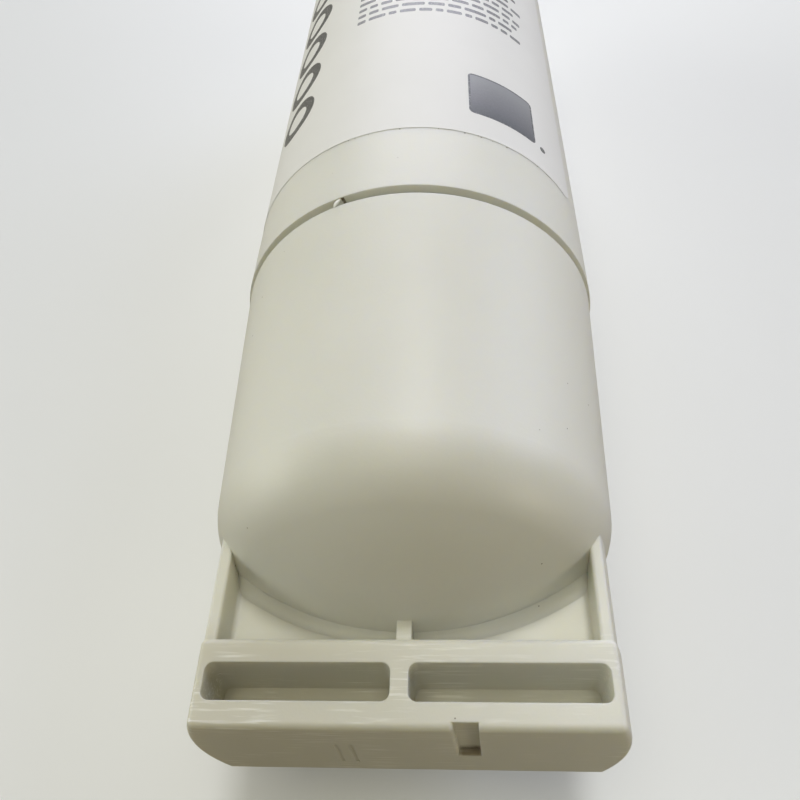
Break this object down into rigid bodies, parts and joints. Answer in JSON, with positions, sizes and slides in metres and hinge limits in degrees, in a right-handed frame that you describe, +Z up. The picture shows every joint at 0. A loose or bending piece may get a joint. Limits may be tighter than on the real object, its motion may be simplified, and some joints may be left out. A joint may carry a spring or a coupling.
{
  "type": "refrigerator water filter cartridge",
  "caption": "Cylindrical refrigerator water filter cartridge: a tapered labelled tube with a stepped sealing spigot, and a welded domed cap that ends in a pocketed twist grip.",
  "frame": {"origin": "middle of the length, on the table under the axis", "axes": "+Y along the cartridge's axis from the grip to the spigot, +Z up as it lies with the printed side of the label on top, +X across"},
  "size_m": [0.0648, 0.234, 0.0648],
  "materials": {
    "ivory_polypropylene": "satin moulded polypropylene, warm off-white",
    "label_film": "smooth white film",
    "black_rubber": "smooth moulded rubber",
    "pressed_carbon": "rough pressed carbon grains",
    "white_fleece": "soft spun fleece",
    "white_polypropylene": "satin moulded polypropylene, white"
  },
  "bodies": {
    "root": {"end_cap": "ivory_polypropylene", "housing_tube": "ivory_polypropylene", "label": "label_film", "neck_o_ring": "black_rubber", "nose_o_rings": "black_rubber", "stub_o_ring": "black_rubber", "carbon_block": "pressed_carbon", "fleece_wrap": "white_fleece", "lower_block_cap": "white_polypropylene", "upper_block_cap": "white_polypropylene"}
  },
  "joints": []
}
